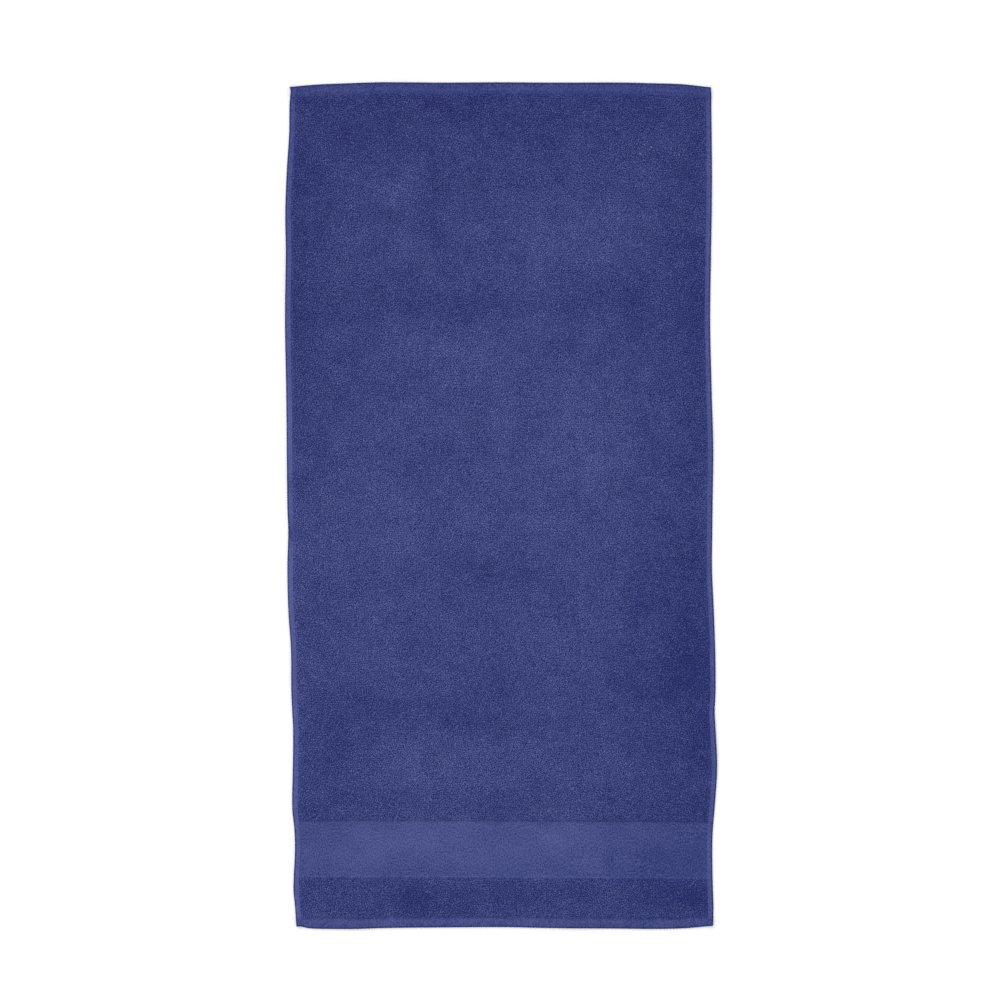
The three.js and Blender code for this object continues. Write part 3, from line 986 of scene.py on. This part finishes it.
def model_bead(ridge_share):
    """Models one loop or stitch: a block whose top is drawn together to a ridge. Returns its parts."""
    start_clean()
    bpy.ops.mesh.primitive_cube_add(size=2, location=(0, 0, 0))
    block = bpy.context.object
    bpy.ops.object.mode_set(mode="EDIT")
    bpy.ops.mesh.select_mode(type="FACE")
    bpy.ops.mesh.select_all(action="DESELECT")
    bpy.ops.object.mode_set(mode="OBJECT")
    for face in block.data.polygons:
        face.select = face.normal.z > 0.5
    bpy.ops.object.mode_set(mode="EDIT")
    bpy.ops.transform.resize(value=(ridge_share, 0, 1))
    bpy.ops.mesh.select_all(action="SELECT")
    bpy.ops.mesh.remove_doubles(threshold=0.0001)
    bpy.ops.mesh.quads_convert_to_tris()
    bpy.ops.object.mode_set(mode="OBJECT")
    points = np.array([vertex.co for vertex in block.data.vertices])
    faces = np.array([face.vertices for face in block.data.polygons])
    downward = np.array([face.normal.z < -0.5 for face in block.data.polygons])
    points[:, 2] = (points[:, 2] + 1) / 2
    bpy.data.meshes.remove(block.data)
    return points, faces, downward


def bead_map(points, faces, downward, cell_x, cell_y, cells):
    """A map with a small cell for each bead: its sides seen from above, and its foot in a narrow strip"""
    margin = 0.03
    sides_long = 0.8
    foot_start = 0.88
    foot_long = 0.1
    u = (points[:, 0] + 1) / 2
    v = (points[:, 1] + 1) / 2
    side_v = margin + sides_long * v
    foot_v = foot_start + foot_long * v
    corner_u = margin + (1 - 2 * margin) * u[faces]
    corner_v = np.where(downward[:, None], foot_v[faces], side_v[faces])
    map_u = (cell_x[:, None, None] + corner_u[None]) / cells
    map_v = (cell_y[:, None, None] + corner_v[None]) / cells
    return np.stack([map_u, map_v], axis=-1)


def repeat_bead(bead, feet, axes, tops):
    """Copies a bead to each foot, along arrows for its half length, its half width and its ridge"""
    points, faces, _ = bead
    placed = (
        feet[:, None, :]
        + points[None, :, 0, None] * axes[0][:, None, :]
        + points[None, :, 1, None] * axes[1][:, None, :]
        + points[None, :, 2, None] * tops[:, None, :]
    )
    shift = np.arange(len(feet))[:, None, None] * len(points)
    return placed.reshape(-1, 3), (faces[None] + shift).reshape(-1, 3)


def loop_feet(cut, pile):
    """Where the loops stand on the flat cut: staggered rows, each loop a little out of line"""
    rng = np.random.default_rng(PLACE_SEED)
    columns = int(cut.width / pile.spacing)
    rows = int(cut.length / pile.spacing)
    column, row = np.meshgrid(np.arange(columns), np.arange(rows))
    column = column.ravel()
    row = row.ravel()
    staggered = column + 0.25 + 0.5 * (row % 2)
    from_left = staggered * pile.spacing + rng.normal(0, PLACE_SPREAD, column.size) * pile.spacing
    down = (row + 0.5) * pile.spacing + rng.normal(0, PLACE_SPREAD, row.size) * pile.spacing
    from_left = np.clip(from_left, 0, cut.width)
    down = np.clip(down, 0, cut.length)
    inside = inside_terry(cut, from_left, down)
    kept = inside > RAGGED_INSET + mottled(RAGGED_EDGE, from_left, down)
    return from_left[kept], down[kept], inside[kept], column[kept], row[kept]


def from_woven_line(cut, down):
    """How far each point is from the nearest line across the towel where the terry begins or ends"""
    lines = (cut.plain_hem, cut.border_start, border_finish(cut), cut.length - cut.border_hem)
    return np.min([np.abs(down - line) for line in lines], axis=0)


def patches_at(patches, across, along):
    """The sum of a table's oval patches of shade at each point"""
    shade = np.zeros_like(across)
    for patch in patches:
        sideways = falloff(across - patch.across, patch.wide)
        shade += patch.shade * sideways * falloff(along - patch.along, patch.long)
    return shade


def brushing_and_shade_at(across, along):
    """How far the brushing and pressing of the cotton, with painted shade and painted light, move its
    colour towards the pale shade
    """
    uneven = sum(mottled(mottle, across, along) for mottle in NAP_MOTTLES)
    return uneven + patches_at(NAP_AND_SHADE_PATCHES, across, along) + patches_at(FINE_FOLD_SHADE_LINES, across, along)


def fleck_share(across, along):
    """How far each loop's colour is the lint's: above 0 only on the loop nearest to each pale fleck"""
    share = np.zeros_like(across)
    for fleck in PALE_FLECKS:
        nearest = np.argmin(np.hypot(across - fleck.across, along - fleck.along))
        share[nearest] = fleck.share
    return share


def loop_axes(pile, count, rng):
    """Each loop's half length and half width, as arrows that lie flat"""
    heading = rng.normal(HEADING, HEADING_SPREAD, count)
    half_length = pile.loop_length / 2 * rng.uniform(LEAST_SIZE, MOST_SIZE, count)
    half_width = pile.loop_width / 2 * rng.uniform(LEAST_SIZE, MOST_SIZE, count)
    flat = np.zeros(count)
    lengthwise = np.stack([np.cos(heading), np.sin(heading), flat], axis=-1) * half_length[:, None]
    sideways = np.stack([-np.sin(heading), np.cos(heading), flat], axis=-1) * half_width[:, None]
    return lengthwise, sideways


def loop_tops(pile, across, along, inside, brushing_and_shade, rng):
    """The arrow from each loop's foot to its ridge, which leans with the nap"""
    level = 1 + mottled(LOOP_HEIGHT_MOTTLE, across, along) + rng.normal(0, HEIGHT_SPREAD, across.size)
    level *= blend(EDGE_LEVEL, 1.0, smooth_step(inside, 0, EDGE_LEVEL_REACH))
    height = (TERRY_THICKNESS - TERRY_GROUND_TOP) * level + LOOP_BURIED
    lean_x = (rng.normal(0, LEAN_SPREAD, across.size) - LEAN_WITH_NAP * brushing_and_shade) * pile.lean
    lean_y = (rng.normal(0, LEAN_SPREAD, across.size) + LEAN_WITH_NAP * brushing_and_shade) * pile.lean
    return np.stack([lean_x, lean_y, height], axis=-1)


def loop_tones(cut, across, along, down, brushing_and_shade, rng):
    """How far each loop's colour is towards the pale shade, with painted shade from the patches and along
    the terry's edges
    """
    tone = LOOP_TONE + brushing_and_shade + mottled(LOOP_TONE_MOTTLE, across, along)
    tone += np.clip(rng.laplace(0, LOOP_TONE_SPREAD, across.size), -LOOP_TONE_LIMIT, LOOP_TONE_LIMIT)
    # Painted shade along the lines where the terry begins and ends
    past_line = smooth_step(from_woven_line(cut, down), WOVEN_LINE_START, WOVEN_LINE_FINISH)
    return tone - WOVEN_LINE_PAINTED_SHADE * (1 - past_line)


def shared_out(count, parts):
    """How many go into each part, rounded up"""
    return -(-count // parts)


def make_pile(cut, pile, colours):
    """Makes the terry loops, in lengthwise strips of one mesh each."""
    bead = model_bead(LOOP_RIDGE)
    from_left, down, inside, column, row = loop_feet(cut, pile)
    across, along, ground, _ = cloth_faces_at(cut, from_left, down)
    brushing_and_shade = brushing_and_shade_at(across, along)
    rng = np.random.default_rng(SHAPE_SEED)
    lengthwise, sideways = loop_axes(pile, across.size, rng)
    tops = loop_tops(pile, across, along, inside, brushing_and_shade, rng)
    tone = loop_tones(cut, across, along, down, brushing_and_shade, rng)
    feet = np.stack([across, along, ground - LOOP_BURIED], axis=-1)
    fleck = fleck_share(across, along)
    per_strip = shared_out(int(cut.width / pile.spacing), pile.strips)
    # A strip's map holds its rows in three blocks side by side, so that it is about square
    blocks = 3
    per_block = shared_out(row.max() + 1, blocks)
    cells = max(per_strip * blocks, per_block)
    material = loop_material(colours, cells)
    made = []
    for strip in range(pile.strips):
        mine = column // per_strip == strip
        axes = (lengthwise[mine], sideways[mine])
        vertices, faces = repeat_bead(bead, feet[mine], axes, tops[mine])
        piece = mesh_at_home(f"pile_{strip + 1}", vertices, faces, material)
        points = bead[0]
        add_point_values(piece, "tone", np.repeat(tone[mine], len(points)))
        add_point_values(piece, "fleck", np.repeat(fleck[mine], len(points)))
        add_point_values(piece, "reach", np.tile(points[:, 2], mine.sum()))
        cell_x = column[mine] % per_strip + per_strip * (row[mine] // per_block)
        cell_y = row[mine] % per_block
        add_map(piece, bead_map(*bead, cell_x, cell_y, cells))
        made.append(piece)
    return made


def make_ground_cloth(cut, colours):
    """Makes the woven cloth with its turned hems, its border band and its rib."""
    from_left, down = np.meshgrid(lines_across(cut), lines_down(cut))
    x, y, top, bottom = cloth_faces_at(cut, from_left, down)
    upper, lower = closed_sheet(*from_left.shape)
    face_points = np.stack([x, y, top], axis=-1).reshape(-1, 3)
    under_points = np.stack([x, y, bottom], axis=-1).reshape(-1, 3)
    points = np.concatenate([face_points, under_points])
    faces = np.concatenate([upper, lower])
    used = np.zeros(len(points), dtype=bool)
    used[faces] = True
    renumbered = np.cumsum(used) - 1
    piece = mesh_at_home("ground_cloth", points[used], renumbered[faces], flat_weave_material(colours))
    zones = Zones(cut, from_left, down)
    face_tone = ground_tone(cut, zones, x, y, down, SHADED_GAP_TONE)
    under_tone = ground_tone(cut, zones, x, y, down, UNDERSIDE_TONE)
    uneven = 1 - HEM_EVENNESS * zones.hem
    values = {
        "tone": (face_tone, under_tone),
        "uneven": (uneven, uneven),
        "looped": (np.zeros_like(uneven), zones.terry),
    }
    for name, face_and_underside in values.items():
        add_point_values(piece, name, np.ravel(face_and_underside)[used])
    flat_places = np.stack([from_left / cut.width / 2, 1 - down / cut.length], axis=-1).reshape(-1, 2)
    flat_places = np.tile(flat_places, (2, 1))
    underside_half = np.array([0.5, 0])
    add_map(piece, np.concatenate([flat_places[upper], flat_places[lower] + underside_half]))
    return piece


def ground_tone(cut, zones, x, y, down, terry_tone):
    """How far the ground cloth's colour is towards the pale shade at each point, with its painted shade and
    painted highlights
    """
    off_sides = 1 - zones.side_hem
    # The brushing of the pile, with painted shade and painted light
    tone = blend(WEAVE_TONE, terry_tone, zones.terry) + brushing_and_shade_at(x, y) * off_sides
    side_hem = (SIDE_HEM_SHADE + patches_at(HEM_PATCHES, x, y)) * zones.side_hem * (1 - zones.end_hem)
    # Painted shade along the folded edges
    outline = OUTLINE_PAINTED_SHADE * (1 - smooth_step(zones.edge, OUTLINE_START, OUTLINE_FINISH))
    # Painted shade in the plain end's seam groove
    seam_groove_shade = falloff(zones.plain - cut.plain_hem + STITCH_INSET, 2 * STITCH_GROOVE) * off_sides
    # Painted highlight on the rib
    rib = rib_height(cut, zones, down) / RIB_RISE
    tone = tone + side_hem - outline - END_HEM_SHADE * zones.end_hem
    # Painted highlights of the ridges beside the end hems' seams
    tone = tone + SEAM_RIDGE_HIGHLIGHT * seam_ridge_highlight(cut, zones)
    return tone - PLAIN_SEAM_PAINTED_SHADE * seam_groove_shade + RIB_HIGHLIGHT * rib


def stitch_ends(cut, first, last):
    """Where the two ends of each stitch of a seam lie on the cloth's face"""
    first = np.array(first)
    last = np.array(last)
    run = np.hypot(*(last - first))
    count = int(run / STITCH_PITCH)
    shares = (np.arange(count) + 0.5) / count
    middles = blend(first, last, shares[:, None])
    ends = []
    for side in (-1, 1):
        end = middles + side * (last - first) / run * (STITCH_LENGTH / 2)
        x, y, top, _ = cloth_faces_at(cut, end[:, 0], end[:, 1])
        ends.append(np.stack([x, y, top], axis=-1))
    return ends


def make_hem_stitching(cut, colours):
    """Makes the thread of the four hem seams as one mesh of short stitches."""
    bead = model_bead(STITCH_RIDGE)
    seams = [stitch_ends(cut, first, last) for first, last in stitch_runs(cut)]
    starts = np.concatenate([seam[0] for seam in seams])
    finishes = np.concatenate([seam[1] for seam in seams])
    feet = (starts + finishes) / 2 - np.array([0, 0, STITCH_BURIED])
    lengthwise = (finishes - starts) / 2
    sideways = np.stack([-lengthwise[:, 1], lengthwise[:, 0], np.zeros(len(feet))], axis=-1)
    sideways *= STITCH_WIDTH / STITCH_LENGTH
    tops = np.tile([0, 0, STITCH_RISE], (len(feet), 1))
    vertices, faces = repeat_bead(bead, feet, (lengthwise, sideways), tops)
    piece = mesh_at_home("hem_stitching", vertices, faces, thread_material(colours))
    cells = int(np.ceil(np.sqrt(len(feet))))
    order = np.arange(len(feet))
    add_map(piece, bead_map(*bead, order % cells, order // cells, cells))
    return piece


def floor_material():
    """A matt, almost even pale floor"""

    def inputs_of(tree, coordinates):
        tone = noise_range(tree, coordinates["Object"], scale=3, low=0.99, high=1.0)
        colour = scaled_colour(tree, FLOOR_COLOUR, tone)
        return {"Base Color": colour, "Roughness": 0.9, "Specular IOR Level": 0.0}

    return one_shader_material("pale_floor", inputs_of)


def make_floor():
    """Adds the floor that the towel lies on."""
    start_clean()
    bpy.ops.mesh.primitive_plane_add(size=FLOOR_SIZE, location=(0, 0, 0))
    floor = bpy.context.object
    floor.name = "floor"
    floor.data.materials.append(floor_material())


def add_light(studio):
    """Adds a broad soft light from the upper left, and an even light from all round."""
    start_clean()
    direction = Vector(KEY_DIRECTION).normalized()
    bpy.ops.object.light_add(type="SUN", location=direction * KEY_DISTANCE)
    key = bpy.context.object
    key.name = "soft_key"
    key.rotation_euler = direction.to_track_quat("Z", "Y").to_euler()
    key.data.energy = studio.key_strength
    key.data.angle = KEY_SPREAD
    world = bpy.data.worlds.new("studio")
    world.use_nodes = True
    background = world.node_tree.nodes["Background"]
    background.inputs["Color"].default_value = (1, 1, 1, 1)
    background.inputs["Strength"].default_value = studio.sky_strength
    bpy.context.scene.world = world


def add_camera(studio):
    """Looks straight down at the towel, a little off its middle, as the picture does."""
    aim = Vector((AIM_ACROSS, AIM_ALONG, TERRY_THICKNESS))
    start_clean()
    bpy.ops.object.camera_add(location=aim + Vector((0, 0, studio.camera_height)), rotation=(0, 0, 0))
    camera = bpy.context.object
    camera.name = "camera"
    camera.data.sensor_width = 36
    camera.data.lens = camera.data.sensor_width * studio.camera_height / studio.view_width
    camera.data.clip_end = 100
    bpy.context.scene.camera = camera


def ride_and_finish(piece):
    """Fixes a piece to the towel's body."""
    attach(piece, BODY)


class TOWEL_OT_stage(bpy.types.Operator):
    """Add the floor, the soft light and the camera"""

    bl_idname = "towel.stage"
    bl_label = "Stage"

    def execute(self, context):
        studio = context.scene.towel_studio
        make_floor()
        add_light(studio)
        add_camera(studio)
        context.scene.view_settings.view_transform = "Standard"
        context.scene.cycles.use_denoising = False
        return {"FINISHED"}


class TOWEL_OT_ground_cloth(bpy.types.Operator):
    """Add the woven cloth with its hems, border band and rib"""

    bl_idname = "towel.ground_cloth"
    bl_label = "Ground cloth"

    def execute(self, context):
        scene = context.scene
        piece = make_ground_cloth(scene.towel_cut, scene.towel_colours)
        ride_and_finish(piece)
        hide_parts(CLOTH_NODE)
        return {"FINISHED"}


class TOWEL_OT_pile(bpy.types.Operator):
    """Add the terry loops in lengthwise strips"""

    bl_idname = "towel.pile"
    bl_label = "Terry pile"

    def execute(self, context):
        scene = context.scene
        for piece in make_pile(scene.towel_cut, scene.towel_pile, scene.towel_colours):
            ride_and_finish(piece)
        return {"FINISHED"}


class TOWEL_OT_hem_stitching(bpy.types.Operator):
    """Add the thread of the four hem seams"""

    bl_idname = "towel.hem_stitching"
    bl_label = "Hem stitching"

    def execute(self, context):
        scene = context.scene
        ride_and_finish(make_hem_stitching(scene.towel_cut, scene.towel_colours))
        return {"FINISHED"}


class TOWEL_OT_declare_cloth(bpy.types.Operator):
    bl_idname = "towel.declare_cloth"
    bl_label = "Declare the cloth"

    def execute(self, context):
        return {"FINISHED"}


class TOWEL_PT_build(bpy.types.Panel):
    """Lists the towel's pieces and sizes"""

    bl_idname = "TOWEL_PT_build"
    bl_label = "Bath towel"
    bl_space_type = "VIEW_3D"
    bl_region_type = "UI"
    bl_category = "Towel"

    def draw(self, context):
        for name in SETTINGS:
            group = getattr(context.scene, name)
            box = self.layout.box()
            for setting in group.__annotations__:
                box.prop(group, setting)
        for operator in OPERATORS:
            self.layout.operator(operator.bl_idname)


SETTINGS = {
    "towel_cut": TowelCut,
    "towel_pile": TowelPile,
    "towel_colours": TowelColours,
    "towel_studio": TowelStudio,
}
OPERATORS = (
    TOWEL_OT_stage,
    TOWEL_OT_ground_cloth,
    TOWEL_OT_pile,
    TOWEL_OT_hem_stitching,
    TOWEL_OT_declare_cloth,
)
CLASSES = (*SETTINGS.values(), *OPERATORS, TOWEL_PT_build)


def register():
    for kind in CLASSES:
        bpy.utils.register_class(kind)
    for name, kind in SETTINGS.items():
        setattr(bpy.types.Scene, name, PointerProperty(type=kind))


def unregister():
    for name in SETTINGS:
        delattr(bpy.types.Scene, name)
    for kind in reversed(CLASSES):
        bpy.utils.unregister_class(kind)


def main():
    register()
    bpy.ops.towel.stage()
    bpy.ops.towel.ground_cloth()
    bpy.ops.towel.pile()
    bpy.ops.towel.hem_stitching()
    bpy.ops.towel.declare_cloth()


if __name__ == "__main__":
    main()
